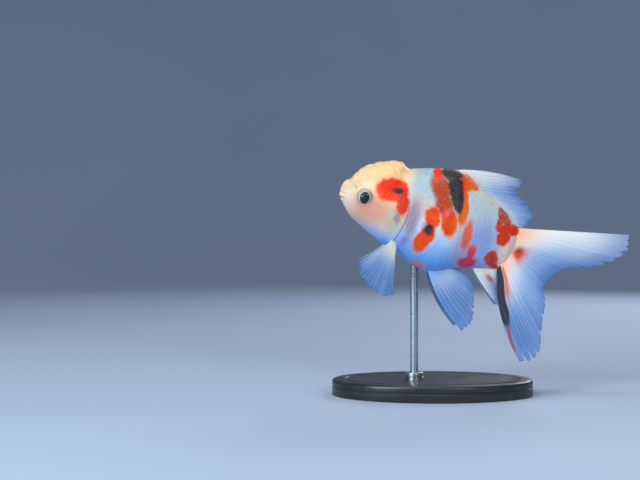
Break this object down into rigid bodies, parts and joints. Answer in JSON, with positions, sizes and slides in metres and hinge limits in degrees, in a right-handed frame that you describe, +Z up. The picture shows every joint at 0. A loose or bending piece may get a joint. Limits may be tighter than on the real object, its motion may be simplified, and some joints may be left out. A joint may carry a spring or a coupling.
{
  "type": "goldfish",
  "caption": "Calico oranda goldfish with a low hood, flowing fins and a forked double tail, head raised, held by a rod on an oval display base.",
  "frame": {"origin": "centre of the underside of the display base", "axes": "+Z up, -X the way the fish faces, -Y the fish's left side"},
  "size_m": [0.1466, 0.064, 0.1165],
  "materials": {
    "skin": "wet pearly fish skin, white with orange and black patches",
    "eye": "clear wet eye, silver iris and black pupil",
    "fin": "thin translucent white fin with fine rays",
    "stand_paint": "satin black lacquer",
    "stand_steel": "satin"
  },
  "bodies": {
    "root": {"head": "skin", "lower_jaw": "skin", "hood": "skin", "gill_cover_left": "skin", "gill_cover_right": "skin", "trunk_front": "skin", "trunk_rear": "skin", "tail_stalk": "skin", "eye_left": "eye", "eye_right": "eye", "dorsal_fin": "fin", "tail_fin_upper_left": "fin", "tail_fin_upper_right": "fin", "tail_fin_lower_left": "fin", "tail_fin_lower_right": "fin", "anal_fin_left": "fin", "anal_fin_right": "fin", "pelvic_fin_left": "fin", "pelvic_fin_right": "fin", "pectoral_fin_left": "fin", "pectoral_fin_right": "fin", "stand_base": "stand_paint", "stand_rod": "stand_steel", "stand_collar": "stand_steel"}
  },
  "joints": []
}
